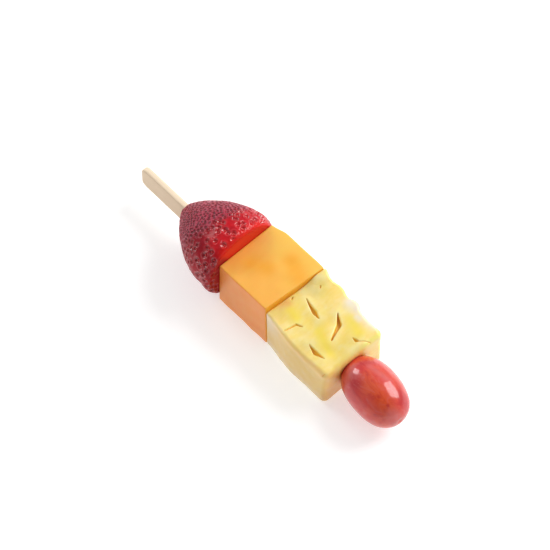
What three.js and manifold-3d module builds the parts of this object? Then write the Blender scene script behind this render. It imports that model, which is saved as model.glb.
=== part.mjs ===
// A fruit skewer lying on its side: a hulled strawberry, a melon cube, a pineapple chunk and a grape,
// threaded on a flat wooden stick that stands on edge inside them.
//
// Millimetres, +Z up. X runs along the stick from its bare end to the grape and Y runs across it.
// The pieces are laid out from the bare end of the stick, on its centre line. The finished group is
// then moved so that its origin is the middle of its footprint, on the surface it lies on.
import * as THREE from "three";
import { mergeVertices } from "three/addons/utils/BufferGeometryUtils.js";
import Module from "manifold-3d";

const wasm = await Module();
wasm.setup();

// Clearance between two pieces that touch.
const GAP = 0.3;

// A standard ice-pop stick, with one end cut square.
const STICK = {
  length: 114,
  width: 10,
  thickness: 2.3,
  height: 10.9, // of the centre line above the surface
  cutCorner: 2.4, // radius of the corners at the bare end
  bevel: 0.35,
};

// Each fruit starts at a distance along the stick from its bare end.
const BERRY = {
  start: 20.45, // where the tip would be if the stick hadn't blunted it
  noseLength: 25.4, // from there to the widest place
  shoulderLength: 3.6, // from there to the cut
  radius: 16.0, // across, at the widest place
  flatness: 0.938, // of its section: the height as a share of the width
  cutRadius: 14.4, // of the flat cut
  tipAngle: 15, // of the nose's curve, in degrees, where the blunt tip is
  lengthPower: 1.13, // the nose's curve: 1 and 1 would be an ellipse
  radiusPower: 1.5, // and larger ones lean towards a cone
  shoulderPower: 0.8, // the shoulder's curve: 1 would be an ellipse, and less is squarer
  tipRise: 2.3, // of its own axis above the stick, at the tip
  cutRise: 4.4, // and at the cut
  aside: 0.3, // of its own axis beside the stick, towards the back
  sag: 0.4, // how far its shoulder sinks forwards and down at the cut
  sagLength: 7,
  tuck: 0.7, // depth of the soft hollow low on its front
  tuckLength: 7,
  swell: 1.6, // how far it swells out below the hollow, at the cut
  swellTurn: 78, // degrees from straight forwards to straight down that it swells in
  swellPower: 3, // how sharply: larger keeps the swell closer to the cut
};

const MELON = {
  start: BERRY.start + BERRY.noseLength + BERRY.shoulderLength + GAP,
  length: 22.6, // of its top, at the front
  front: -9.8,
  back: 15.8,
  height: 21.4,
  edge: 0.5, // radius of its edges
  frontLean: 0.55, // how much further out its front is at the bottom
  cornerCut: 1.3, // how much narrower it is at the strawberry, at the back
  cornerLength: 6,
  endRise: 0.3, // how much higher it is at the pineapple
  endSkew: 1.6, // how much longer it is at the back
  endLean: 1.0, // how much longer it is at the bottom
};

const PINEAPPLE = {
  start: MELON.start + MELON.length + GAP,
  length: 31.5, // at the front
  front: -9.8,
  back: 15.7,
  height: 19.4,
  firstEdge: 0.4, // radius of its edges at the melon
  lastEdge: 1.6, // and at the grape
  frontLean: 0.45, // how much further out its front is at the bottom
  frontFlare: 1.9, // how much further out the front is at the grape than at the melon
  flareLength: 15,
  backStep: 1.4, // how far its back steps in
  backStepAt: [16, 23], // along the chunk, where the step is
  ridge: 0.5, // height of the ridges in its back, before the step
  ridgeSpacing: 8.4,
  backRise: 2.1, // how much higher the top is at the back, beside the melon
  backRiseFrom: [5, 13], // across the chunk, where it rises
  backRiseLength: 9,
  slope: 1.4, // how much lower the top is at the grape end of the front
  endSkew: 0.6, // how much longer it is at the back
  waviness: 0.25, // of its top
};

const GRAPE = {
  start: PINEAPPLE.start + PINEAPPLE.length - 1.75, // it is pressed into the pineapple
  length: 27.4,
  radius: 9.1,
  bluntness: 2.3, // exponent of its outline: 2 is an ellipse
  turn: -6, // degrees by which it sits askew on the stick
  aside: -0.2,
};

// The gashes in the pineapple's top: place along and across it, size, and the way each one runs.
const GASHES = [
  { along: 9.2, across: 2.9, length: 8.0, width: 1.5, depth: 2.3, turn: -13 },
  { along: 19.2, across: 3.8, length: 9.8, width: 1.8, depth: 2.5, turn: -54 },
  { along: 21.9, across: -7.4, length: 7.2, width: 2.0, depth: 2.1, turn: -1 },
  { along: 10.4, across: -6.6, length: 5.8, width: 0.9, depth: 1.2, turn: 61 },
  { along: 29.0, across: 6.6, length: 5.0, width: 1.0, depth: 1.1, turn: 34 },
];

const SURFACE = -STICK.height; // where the fruit lies, seen from the stick's centre line

const MATERIALS = {
  wood: new THREE.MeshStandardMaterial({ color: 0xe0c7a4, roughness: 0.7, metalness: 0 }),
  strawberry: new THREE.MeshStandardMaterial({ color: 0xa3202c, roughness: 0.35, metalness: 0 }),
  melon: new THREE.MeshStandardMaterial({ color: 0xfaa850, roughness: 0.45, metalness: 0 }),
  pineapple: new THREE.MeshStandardMaterial({ color: 0xf5de85, roughness: 0.45, metalness: 0 }),
  grape: new THREE.MeshStandardMaterial({ color: 0xb8403f, roughness: 0.25, metalness: 0 }),
};

// ---- Helpers ----

// A closed geometry as a solid that can be joined and cut.
function toSolid(geometry) {
  const bare = geometry.clone();
  bare.deleteAttribute("normal");
  bare.deleteAttribute("uv");
  const merged = mergeVertices(bare, 1e-3);
  return new wasm.Manifold(
    new wasm.Mesh({
      numProp: 3,
      vertProperties: merged.attributes.position.array,
      triVerts: new Uint32Array(merged.index.array),
    }),
  );
}

function toGeometry(solid) {
  const mesh = solid.getMesh();
  const geometry = new THREE.BufferGeometry();
  geometry.setAttribute("position", new THREE.BufferAttribute(new Float32Array(mesh.vertProperties), 3));
  geometry.setIndex(new THREE.BufferAttribute(new Uint32Array(mesh.triVerts), 1));
  geometry.computeVertexNormals();
  return geometry;
}

// Moves each point of a geometry by a function that changes the point it is given.
function reshape(geometry, move) {
  const places = geometry.attributes.position;
  const point = new THREE.Vector3();
  for (let i = 0; i < places.count; i++) {
    point.fromBufferAttribute(places, i);
    move(point);
    places.setXYZ(i, point.x, point.y, point.z);
  }
  return geometry;
}

// 0 below the start, 1 past the end, and a smooth rise between them.
const ramp = THREE.MathUtils.smoothstep;

// Soft fruit flattens where it meets the surface it lies on.
function settle(point) {
  point.z = Math.max(point.z, SURFACE);
}

// A body of revolution along x, from a profile of (radius, x) points, from one end to the other.
function turned(profile, sides) {
  return new THREE.LatheGeometry(profile, sides).rotateZ(-Math.PI / 2);
}

// ---- Stick ----

// The stick's side, in x and z, made larger all round by grow: square at one end, round at the other.
function stickOutline(grow) {
  const half = STICK.width / 2 + grow;
  const corner = STICK.cutCorner + grow;
  const cornerX = STICK.cutCorner;
  const roundX = STICK.length - STICK.width / 2;
  const outline = new THREE.Shape();
  outline.moveTo(cornerX, -half);
  outline.lineTo(roundX, -half);
  outline.absarc(roundX, 0, half, -Math.PI / 2, Math.PI / 2);
  outline.lineTo(cornerX, half);
  outline.absarc(cornerX, half - corner, corner, Math.PI / 2, Math.PI);
  outline.absarc(cornerX, corner - half, corner, Math.PI, Math.PI * 1.5);
  return outline;
}

// The outline given its thickness and turned on edge. The stick has bevelled edges, its hole doesn't.
function stickGeometry(grow, bevel) {
  const thickness = STICK.thickness + 2 * grow;
  const geometry = new THREE.ExtrudeGeometry(stickOutline(grow), {
    depth: thickness - 2 * bevel,
    bevelEnabled: bevel > 0,
    bevelThickness: bevel,
    bevelSize: bevel,
    bevelOffset: -bevel,
    bevelSegments: 2,
    curveSegments: 10,
  });
  return geometry.translate(0, 0, bevel - thickness / 2).rotateX(Math.PI / 2);
}

function makeStick() {
  const mesh = new THREE.Mesh(stickGeometry(0, STICK.bevel), MATERIALS.wood);
  mesh.name = "stick";
  return mesh;
}

// ---- Fruit ----

// A fruit on the stick. Its geometry has x = 0 at its first end and the stick's centre line along x.
function threaded(name, geometry, start, material) {
  const hole = toSolid(stickGeometry(GAP, 0).translate(-start, 0, 0));
  const mesh = new THREE.Mesh(toGeometry(toSolid(geometry).subtract(hole)), material);
  mesh.name = name;
  mesh.position.x = start;
  return mesh;
}

// A nose between a dome and a cone, then a shoulder that turns in to the flat cut. Beside the cut, it has a
// soft hollow low on its front and swells out below that.
function makeStrawberry() {
  const noseSteps = 14;
  const shoulderSteps = 5;
  const sides = 44;
  const tip = THREE.MathUtils.degToRad(BERRY.tipAngle);
  const nose = [];
  for (let i = 0; i <= noseSteps; i++) {
    const angle = THREE.MathUtils.lerp(tip, Math.PI / 2, i / noseSteps);
    const radius = BERRY.radius * Math.sin(angle) ** BERRY.radiusPower;
    const along = 1 - Math.max(Math.cos(angle), 0) ** BERRY.lengthPower;
    nose.push(new THREE.Vector2(radius, BERRY.noseLength * along));
  }
  const profile = [new THREE.Vector2(0, nose[0].y), ...nose];
  for (let i = 1; i <= shoulderSteps; i++) {
    const angle = ((i / shoulderSteps) * Math.PI) / 2;
    const turnIn = Math.max(Math.cos(angle), 0) ** BERRY.shoulderPower;
    const radius = THREE.MathUtils.lerp(BERRY.cutRadius, BERRY.radius, turnIn);
    const along = BERRY.noseLength + BERRY.shoulderLength * Math.sin(angle) ** BERRY.shoulderPower;
    profile.push(new THREE.Vector2(radius, along));
  }
  const length = BERRY.noseLength + BERRY.shoulderLength;
  profile.push(new THREE.Vector2(0, length));
  const swellY = Math.cos(THREE.MathUtils.degToRad(BERRY.swellTurn));
  const swellZ = Math.sin(THREE.MathUtils.degToRad(BERRY.swellTurn));

  const geometry = reshape(turned(profile, sides), (point) => {
    const rise = THREE.MathUtils.lerp(BERRY.tipRise, BERRY.cutRise, point.x / length);
    const sag = BERRY.sag * ramp(point.x, length - BERRY.sagLength, length);
    const forward = Math.max(-(point.y + point.z) / Math.SQRT2, 0) / BERRY.radius;
    const past = THREE.MathUtils.clamp((point.x - length) / BERRY.tuckLength + 1, 0, 1);
    const tuck = (BERRY.tuck * (forward * Math.sin(Math.PI * past)) ** 2) / Math.SQRT2;
    const radius = Math.max(Math.hypot(point.y, point.z), 1e-6);
    const towards = Math.max(-(point.y * swellY + point.z * swellZ) / radius, 0);
    const swell = (BERRY.swell * radius * (past * towards) ** BERRY.swellPower) / BERRY.radius;
    point.y += BERRY.aside - sag + tuck - swell * swellY;
    point.z = rise - sag + tuck - swell * swellZ + BERRY.flatness * point.z;
    settle(point);
  });
  return threaded("strawberry", geometry, BERRY.start, MATERIALS.strawberry);
}

// A block with rounded edges, whose radius goes from one value at the first end to another at the last.
// The steps are closer near the edges, where the rounding is.
function roundedBlock(low, high, firstEdge, lastEdge, steps) {
  const half = high.clone().sub(low).multiplyScalar(0.5);
  const centre = high.clone().add(low).multiplyScalar(0.5);
  const core = new THREE.Vector3();
  return reshape(new THREE.BoxGeometry(2, 2, 2, steps, steps, steps), (point) => {
    point.set(...point.toArray().map((share) => Math.sin((share * Math.PI) / 2)));
    const edge = THREE.MathUtils.lerp(firstEdge, lastEdge, (point.x + 1) / 2);
    const flat = half.clone().subScalar(edge);
    point.multiply(half);
    core.copy(point).clamp(flat.clone().negate(), flat);
    point.sub(core).setLength(edge).add(core).add(centre);
  });
}

// How much further along the stick the slanting cut between melon and pineapple is, at a point's height
// and place across, than at the melon's top edge at the front.
function slant(point) {
  const towardsBack = (point.y - MELON.front) / (MELON.back - MELON.front);
  const towardsBottom = 1 - (point.z - SURFACE) / MELON.height;
  return MELON.endSkew * towardsBack + MELON.endLean * towardsBottom;
}

// A cube with knife-cut faces, a little narrower beside the strawberry, with a slanting cut at its end.
function makeMelon() {
  const low = new THREE.Vector3(0, MELON.front, SURFACE);
  const high = new THREE.Vector3(MELON.length, MELON.back, SURFACE + MELON.height);
  const geometry = reshape(roundedBlock(low, high, MELON.edge, MELON.edge, 10), (point) => {
    const towardsEnd = point.x / MELON.length;
    const towardsBack = ramp(point.y, MELON.front, MELON.back);
    const towardsTop = (point.z - SURFACE) / MELON.height;
    const narrow = 1 - ramp(point.x, 0, MELON.cornerLength);
    point.y -= MELON.cornerCut * narrow * towardsBack;
    point.y -= MELON.frontLean * (1 - towardsTop) * (1 - towardsBack);
    point.z += MELON.endRise * towardsEnd * towardsTop;
    point.x += slant(point) * towardsEnd;
    settle(point);
  });
  return threaded("melon", geometry, MELON.start, MATERIALS.melon);
}

// A narrow hollow with pointed ends, sunk into the pineapple's top.
function gashSolid({ along, across, length, width, depth, turn }) {
  const hollow = new THREE.SphereGeometry(1, 14, 10);
  hollow.scale(length / 2, width / 2, depth);
  hollow.rotateZ(THREE.MathUtils.degToRad(turn));
  hollow.translate(along, across, SURFACE + PINEAPPLE.height);
  return toSolid(hollow);
}

// An uneven chunk that flares at the front, with ridges and a step in its back, gashes in its top, which
// rises at the back beside the melon, and the dent of the grape.
function makePineapple() {
  const { start, length, front, back, height, firstEdge, lastEdge, waviness } = PINEAPPLE;
  const low = new THREE.Vector3(0, front, SURFACE);
  const high = new THREE.Vector3(length, back, SURFACE + height);
  const geometry = reshape(roundedBlock(low, high, firstEdge, lastEdge, 13), (point) => {
    const towardsGrape = point.x / length;
    const towardsBack = ramp(point.y, front, back);
    const towardsTop = ramp(point.z, SURFACE, SURFACE + height);
    const stepped = ramp(point.x, ...PINEAPPLE.backStepAt);
    const ridges = PINEAPPLE.ridge * Math.cos((2 * Math.PI * point.x) / PINEAPPLE.ridgeSpacing);
    const risen = ramp(point.y, ...PINEAPPLE.backRiseFrom) * (1 - ramp(point.x, 0, PINEAPPLE.backRiseLength));
    const wave = Math.sin(point.x * 0.4) * Math.cos(point.y * 0.35);
    const flare = PINEAPPLE.frontFlare * ramp(point.x, 0, PINEAPPLE.flareLength);
    point.y -= (flare + PINEAPPLE.frontLean * (1 - towardsTop)) * (1 - towardsBack);
    point.y += (ridges * (1 - stepped) - PINEAPPLE.backStep * stepped) * towardsBack;
    point.z += (PINEAPPLE.backRise * risen + waviness * wave) * towardsTop;
    point.z -= PINEAPPLE.slope * towardsGrape * (1 - towardsBack) * towardsTop;
    point.x += slant(point) * (1 - towardsGrape);
    point.x += PINEAPPLE.endSkew * towardsBack * towardsGrape;
    settle(point);
  });
  const dent = toSolid(grapeGeometry(GAP).translate(GRAPE.start - start, 0, 0));
  const chunk = GASHES.reduce((solid, gash) => solid.subtract(gashSolid(gash)), toSolid(geometry));
  return threaded("pineapple", toGeometry(chunk.subtract(dent)), start, MATERIALS.pineapple);
}

// A long grape with blunt ends: |x/a|^n + |r/b|^n = 1, made larger all round by grow.
function grapeGeometry(grow) {
  const steps = 20;
  const sides = 32;
  const power = 2 / GRAPE.bluntness;
  const half = GRAPE.length / 2 + grow;
  const profile = [];
  for (let i = 0; i <= steps; i++) {
    const angle = (i / steps) * Math.PI;
    const along = -Math.sign(Math.cos(angle)) * Math.abs(Math.cos(angle)) ** power;
    const radius = (GRAPE.radius + grow) * Math.abs(Math.sin(angle)) ** power;
    profile.push(new THREE.Vector2(radius, GRAPE.length / 2 + half * along));
  }
  const middle = GRAPE.length / 2;
  return turned(profile, sides)
    .translate(-middle, 0, 0)
    .rotateZ(THREE.MathUtils.degToRad(GRAPE.turn))
    .translate(middle, GRAPE.aside, 0);
}

function makeGrape() {
  return threaded("grape", grapeGeometry(0), GRAPE.start, MATERIALS.grape);
}

// ---- Assembly ----

const skewer = new THREE.Group();
skewer.add(makeStick(), makeStrawberry(), makeMelon(), makePineapple(), makeGrape());

const bounds = new THREE.Box3().setFromObject(skewer, true);
const middle = bounds.getCenter(new THREE.Vector3());
skewer.position.set(-middle.x, -middle.y, -bounds.min.z);

const part = new THREE.Group();
part.add(skewer);

export default part;
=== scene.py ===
"""A fruit skewer on a pale floor: a strawberry, a melon cube, a pineapple chunk and a grape on a flat stick.

Everything is in metres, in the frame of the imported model. X runs along the stick from its bare end to
the grape, Y runs across it and Z is up. Each fruit is one closed surface, worked out on a grid whose rows
follow the stick and whose columns run round it, and it stands for the plain solid of the same name.
"""

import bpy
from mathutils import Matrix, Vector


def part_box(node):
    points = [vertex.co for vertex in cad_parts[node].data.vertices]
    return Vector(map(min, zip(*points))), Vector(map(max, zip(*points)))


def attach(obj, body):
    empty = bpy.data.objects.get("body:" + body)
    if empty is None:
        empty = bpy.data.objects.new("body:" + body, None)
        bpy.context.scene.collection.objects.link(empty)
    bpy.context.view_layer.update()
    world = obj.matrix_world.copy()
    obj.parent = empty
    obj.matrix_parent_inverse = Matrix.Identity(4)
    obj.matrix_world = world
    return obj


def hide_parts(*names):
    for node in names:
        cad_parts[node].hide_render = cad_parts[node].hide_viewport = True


bl_info = {
    "name": "Fruit Skewer",
    "version": (1, 0, 0),
    "blender": (4, 5, 0),
    "location": "View3D > Sidebar > Skewer",
    "description": "Builds a fruit skewer around its packed model",
    "category": "Add Mesh",
}

import bpy
import numpy as np
from bpy.props import FloatProperty, FloatVectorProperty, PointerProperty
from mathutils import Vector

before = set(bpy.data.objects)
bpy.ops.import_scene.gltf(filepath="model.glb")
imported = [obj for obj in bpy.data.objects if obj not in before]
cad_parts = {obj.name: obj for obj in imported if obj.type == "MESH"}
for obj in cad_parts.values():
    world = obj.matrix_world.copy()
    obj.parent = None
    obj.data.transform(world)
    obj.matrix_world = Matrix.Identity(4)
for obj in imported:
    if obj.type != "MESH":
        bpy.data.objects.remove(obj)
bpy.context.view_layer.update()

MM = 0.001
TINY = 1e-12
BODY = "root"
GOLDEN_ANGLE = np.pi * (3 - np.sqrt(5))
CLEARANCE = 0.3 * MM  # between two solids that touch
TOUCH = 0.14 * MM  # how far a fruit reaches into the clearance

STICK_LOW, STICK_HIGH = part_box("stick")
STICK_HALF_Y = (STICK_HIGH.y - STICK_LOW.y) / 2
STICK_HALF_Z = (STICK_HIGH.z - STICK_LOW.z) / 2
AXIS_Y = (STICK_LOW.y + STICK_HIGH.y) / 2
AXIS_Z = (STICK_LOW.z + STICK_HIGH.z) / 2
BERRY_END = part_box("strawberry")[1].x
MELON_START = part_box("melon")[0].x
GRAPE_LOW, GRAPE_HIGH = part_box("grape")
GRAPE_CENTRE = (np.array(GRAPE_LOW) + np.array(GRAPE_HIGH)) / 2


# ---- Settings ----


def length(name, description, default):
    """A setting that is a length in metres."""
    return FloatProperty(name=name, description=description, default=default, unit="LENGTH", precision=5)


def number(name, description, default):
    """A setting without a unit."""
    return FloatProperty(name=name, description=description, default=default)


def colour(name, description, default):
    """A setting that is a colour, as linear red, green and blue."""
    return FloatVectorProperty(
        name=name, description=description, default=default, subtype="COLOR", size=3, min=0, max=1
    )


class StickSettings(bpy.types.PropertyGroup):
    """The flat wooden stick"""

    edge: length("Edge", "Radius of its long edges", 0.35 * MM)
    corner: length("Corner", "Radius of the corners at the bare end", 2.4 * MM)
    grain: length("Grain", "Depth of the raised grain", 0.012 * MM)
    pale: colour("Pale wood", "Colour between the grain lines", (0.94, 0.78, 0.58))
    dark: colour("Dark wood", "Colour of the grain lines", (0.84, 0.66, 0.46))
    # Painted shade: the wide sides are painted darker and browner for the shade that falls on them.
    flat: colour("Shaded flat sides", "Colour of the wide sides", (0.72, 0.53, 0.36))
    pores: colour("Pores", "Colour of the fine open pores", (0.55, 0.38, 0.22))


class StrawberrySettings(bpy.types.PropertyGroup):
    """The strawberry and its seeds"""

    nose: length("Nose", "From the tip to the widest place", 25.4 * MM)
    shoulder: length("Shoulder", "From the widest place to the cut", 3.6 * MM)
    radius: length("Radius", "Across, at the widest place", 16.0 * MM)
    cut_radius: length("Cut radius", "Of the flat cut", 14.4 * MM)
    tip_rise: length("Tip rise", "Of its axis above the stick, at the tip", 2.3 * MM)
    cut_rise: length("Cut rise", "Of its axis above the stick, at the cut", 4.4 * MM)
    aside: length("Aside", "Of its axis beside the stick", 0.3 * MM)
    sag: length("Sag", "How far its shoulder sinks at the cut", 0.4 * MM)
    sag_length: length("Sag length", "How long the sinking shoulder is", 7 * MM)
    tuck: length("Tuck", "Depth of the soft hollow low on its front", 0.7 * MM)
    tuck_length: length("Tuck length", "From where that hollow begins to the cut", 7 * MM)
    swell: length("Swell", "How far it swells out below the hollow, at the cut", 1.6 * MM)
    flatness: number("Flatness", "Height of its section as a share of the width", 0.938)
    tip_spacing: length("Tip spacing", "Between seeds near the tip", 1.25 * MM)
    cut_spacing: length("Cut spacing", "Between seeds near the cut", 3.3 * MM)
    tip_pit: length("Tip pit", "Depth of the pits near the tip", 0.20 * MM)
    cut_pit: length("Cut pit", "Depth of the pits near the cut", 0.55 * MM)
    bare: length("Bare band", "Width of the band without seeds at the top of the shoulder", 1.4 * MM)
    dark: colour("Dark skin", "Colour near the tip", (0.20, 0.005, 0.015))
    red: colour("Red skin", "Colour near the cut", (0.37, 0.003, 0.012))
    # Painted light: the glowing skin stands for light from behind showing through the top near the cut.
    glow: colour("Lit glowing skin", "Colour near the top of the cut", (0.62, 0.010, 0.018))
    # The cut's own colour, which is also painted as light on the top of the skin beside the cut.
    bright: colour("Bright flesh", "Colour of the cut", (0.72, 0.026, 0.010))
    # Painted sheen: the ridges between the close seeds and soft streaks are painted pinkish for wet
    # reflections.
    ridge_sheen: colour("Painted ridge sheen", "Colour of the skin between the close seeds", (0.55, 0.090, 0.140))
    # Painted shade: the pits of the close seeds are painted nearly black for the shade in them.
    hollow: colour("Painted pit shade", "Colour in the pits of the close seeds", (0.04, 0.002, 0.007))
    seed_dark: colour("Dark seeds", "Colour of the close seeds", (0.10, 0.004, 0.010))
    seed_red: colour("Red seeds", "Colour of the wide seeds", (0.85, 0.050, 0.045))
    seed_mottle: colour("Seed mottling", "Colour of the darker spots on the seeds", (0.50, 0.012, 0.018))


class MelonSettings(bpy.types.PropertyGroup):
    """The melon cube"""

    length: length("Length", "Of its top, at the front", 22.6 * MM)
    front: length("Front", "Of its front face from the stick", 9.8 * MM)
    back: length("Back", "Of its back face from the stick", 15.8 * MM)
    height: length("Height", "Of its top over the floor", 21.4 * MM)
    edge: length("Edge", "Radius of its edges", 0.5 * MM)
    front_lean: length("Front lean", "How much further out its front is at the bottom", 0.55 * MM)
    corner_cut: length("Corner cut", "How much narrower it is beside the strawberry", 1.3 * MM)
    corner_length: length("Corner length", "How far the narrowing runs", 6 * MM)
    end_rise: length("End rise", "How much higher it is at the pineapple", 0.3 * MM)
    end_skew: length("End skew", "How much longer it is at the back", 1.6 * MM)
    end_lean: length("End lean", "How much longer it is at the bottom", 1.0 * MM)
    flesh: colour("Flesh", "Colour of the flesh", (0.95, 0.46, 0.064))
    peach: colour("Peach", "Colour of the flesh beside the strawberry", (0.95, 0.37, 0.085))
    shaded: colour("Shaded", "Colour of the front face", (0.94, 0.275, 0.036))
    rind_side: colour("Rind side", "Colour of the flesh near the rind", (0.93, 0.57, 0.085))
    # Also painted on the end face, as shade.
    deep: colour("Deep", "Colour of the ripest flesh", (0.95, 0.39, 0.008))


class PineappleSettings(bpy.types.PropertyGroup):
    """The pineapple chunk"""

    length: length("Length", "At the front", 31.5 * MM)
    front: length("Front", "Of its front face from the stick", 9.8 * MM)
    back: length("Back", "Of its back face from the stick", 15.7 * MM)
    height: length("Height", "Of its top over the floor", 19.4 * MM)
    first_edge: length("First edge", "Radius of its edges at the melon", 0.9 * MM)
    last_edge: length("Last edge", "Radius of its edges at the grape", 2.1 * MM)
    front_lean: length("Front lean", "How much further out its front is at the bottom", 0.45 * MM)
    front_flare: length("Front flare", "How much further out its front is at the grape", 1.9 * MM)
    flare_length: length("Flare length", "How far the flare runs", 15 * MM)
    back_step: length("Back step", "Depth of the step in its back", 1.4 * MM)
    ridge: length("Ridge", "Height of the ridges in its back", 0.5 * MM)
    ridge_spacing: length("Ridge spacing", "Between the ridges in its back", 8.4 * MM)
    back_rise: length("Back rise", "How much higher its top is at the back beside the melon", 2.1 * MM)
    back_rise_length: length("Back rise length", "How far that rise runs", 9 * MM)
    slope: length("Slope", "How much lower its top is at the grape end of the front", 1.4 * MM)
    end_skew: length("End skew", "How much longer it is at the back", 0.6 * MM)
    waviness: length("Waviness", "Of its top", 0.25 * MM)
    flesh: colour("Flesh", "Colour of the flesh", (0.94, 0.69, 0.170))
    bright: colour("Bright", "Colour of the ripest flesh", (0.97, 0.73, 0.095))
    # Painted light: pale for light glancing off the back of the top and the floor reflected low on the
    # front.
    pale: colour("Pale", "Colour near the core", (0.86, 0.82, 0.74))
    # Painted light: the top's front edge is painted paler for the light that the rounded edge catches.
    rim: colour("Lit rim", "Colour of the top's front edge", (1.00, 0.71, 0.30))
    shaded: colour("Shaded", "Colour low down at the grape", (0.62, 0.33, 0.10))
    # Partly painted light: the cream lips are partly painted highlights, and the cream patches painted
    # light.
    cream: colour("Cream", "Colour of the swollen flesh beside the gashes", (1.00, 0.82, 0.42))
    # Painted shade: the front face is painted this darker, browner colour for the shade that falls on it.
    tan: colour("Shaded tan", "Colour of the front face", (0.81, 0.54, 0.150))
    amber: colour("Amber", "Colour inside the gashes", (0.97, 0.63, 0.05))
    brown: colour("Brown", "Colour at the bottom of the gashes", (0.85, 0.40, 0.02))
    # By the grape and on the front half of its end, peach is painted shade and red light from the grape.
    peach: colour("Peach", "Colour beside the melon and the grape", (0.95, 0.50, 0.13))
    # Painted light: the back half of its end is painted paler and yellower for the light that falls on it.
    end_light: colour("Lit end", "Colour of the back half of its end", (0.92, 0.90, 0.22))


class GrapeSettings(bpy.types.PropertyGroup):
    """The grape"""

    length: length("Length", "From end to end", 27.4 * MM)
    radius: length("Radius", "At its middle", 9.1 * MM)
    bluntness: number("Bluntness", "Exponent of its outline, where 2 is an ellipse", 2.3)
    turn: FloatProperty(
        name="Turn", description="How far it sits askew", default=np.radians(-6), subtype="ANGLE"
    )
    skin: colour("Skin", "Colour of the skin", (0.66, 0.036, 0.032))
    warm: colour("Warm", "Colour where the flesh shows through", (0.72, 0.095, 0.024))
    dark: colour("Dark", "Colour of the darkest patches", (0.48, 0.014, 0.024))
    bloom: colour("Bloom", "Colour of the pale bloom", (0.66, 0.15, 0.14))


class StageSettings(bpy.types.PropertyGroup):
    """The floor, the lights and the camera"""

    floor_size: length("Floor", "Width of the floor", 6.0)
    floor: colour("Floor", "Colour of the floor", (0.70, 0.70, 0.70))
    glow: number("Glow", "Strength of the light that comes up through the floor", 0.52)
    camera_distance: length("Camera distance", "From the middle of the picture", 1.2)
    view_width: length("View width", "Width of the picture at that distance", 187.07 * MM)
    world: number("World", "Strength of the even light", 0.58)
    shade: number("Shade", "Strength of the even light from round the camera", 0.12)


# ---- Surfaces ----

RIPPLE_SPREAD = (0.7, 1.4)  # least and most wave number in a ripple, as shares of the middle one
CORNER_CROWD = 0.6  # how far the points of a block's section crowd to its corners
END_CROWD = 0.5  # how far its sections crowd to its ends

# The parts of a unit normal between which a surface begins to count as a side of a block, as one of its
# ends, and as facing up.
SIDE = (0.3, 0.8)
END = (0.4, 0.9)
UPWARD = (0.25, 0.6)


def mesh_object(name, vertices, faces):
    """A mesh object from an array of points and arrays of faces, each array with one kind of polygon."""
    mesh = bpy.data.meshes.new(name)
    corners = np.concatenate([f.ravel() for f in faces]).astype(np.int32)
    sizes = np.concatenate([np.full(len(f), f.shape[1]) for f in faces])
    starts = np.concatenate([[0], np.cumsum(sizes)[:-1]]).astype(np.int32)
    mesh.vertices.add(len(vertices))
    mesh.vertices.foreach_set("co", vertices.astype(np.float32).ravel())
    mesh.loops.add(len(corners))
    mesh.loops.foreach_set("vertex_index", corners)
    mesh.polygons.add(len(starts))
    mesh.polygons.foreach_set("loop_start", starts)
    mesh.update(calc_edges=True)
    mesh.polygons.foreach_set("use_smooth", np.ones(len(starts), bool))
    mesh.validate()
    piece = bpy.data.objects.new(name, mesh)
    bpy.context.scene.collection.objects.link(piece)
    return piece


def closed_faces(rows, columns):
    """The faces of a closed surface: quads between the rows of its points, whose columns wrap round, and
    triangles from its first and last rows to its two poles, which are numbered after the rows."""
    index = np.arange(rows * columns).reshape(rows, columns)
    beside = np.roll(index, -1, axis=1)
    quads = np.stack([index[:-1], beside[:-1], beside[1:], index[1:]], -1).reshape(-1, 4)
    first, last = index.size, index.size + 1
    start = np.stack([np.full(columns, first), beside[0], index[0]], -1)
    end = np.stack([np.full(columns, last), index[-1], beside[-1]], -1)
    return quads, np.vstack([start, end])


def closed_surface(name, grid):
    """A closed mesh from a grid of points, whose first and last rows are drawn together to poles."""
    rows, columns = grid.shape[:2]
    vertices = np.vstack([grid[1:-1].reshape(-1, 3), grid[0].mean(0), grid[-1].mean(0)])
    return mesh_object(name, vertices, closed_faces(rows - 2, columns))


def store_field(piece, name, values):
    """Gives a piece an attribute with a value for each of its points, which its material reads."""
    field = piece.data.attributes.new(name, "FLOAT", "POINT")
    field.data.foreach_set("value", values.astype(np.float32))


def unit(vectors):
    """Vectors divided by their own lengths."""
    return vectors / np.maximum(np.linalg.norm(vectors, axis=-1, keepdims=True), TINY)


def outward(grid):
    """Unit normals of a grid: the way round crossed with the way along, and along X at the two poles."""
    around = np.roll(grid, -1, axis=1) - np.roll(grid, 1, axis=1)
    normals = np.cross(around, np.gradient(grid, axis=0))
    normals[0] = (-1, 0, 0)
    normals[-1] = (1, 0, 0)
    return unit(normals)


def between(first, last, share):
    """The value that is share of the way from first to last."""
    return first + (last - first) * share


def smooth(value, low, high):
    """0 below low, 1 above high, and 3t^2 - 2t^3 between them, where t is the way from low to high."""
    share = np.clip((value - low) / (high - low), 0, 1)
    return share * share * (3 - 2 * share)


def bell(distance, width):
    """1 at no distance, falling away on both sides as exp(-(distance / width)^2)."""
    return np.exp(-((distance / width) ** 2))


def ripple(points, wavelength, seed, stretch=(1, 1, 1), waves=14):
    """An even random field of about -1 to 1: the sum of plane waves of nearly one length, each with a
    random direction and phase. The points are first divided by stretch, so that it is longer that way."""
    random = np.random.default_rng(seed)
    directions = unit(random.normal(size=(waves, 3)))
    directions *= random.uniform(*RIPPLE_SPREAD, (waves, 1)) * 2 * np.pi / wavelength
    phases = random.uniform(0, 2 * np.pi, waves)
    total = np.zeros(points.shape[:-1])
    for direction, phase in zip(directions, phases):
        total += np.sin((points / np.array(stretch)) @ direction + phase)
    return total / np.sqrt(2 * waves)


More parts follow.
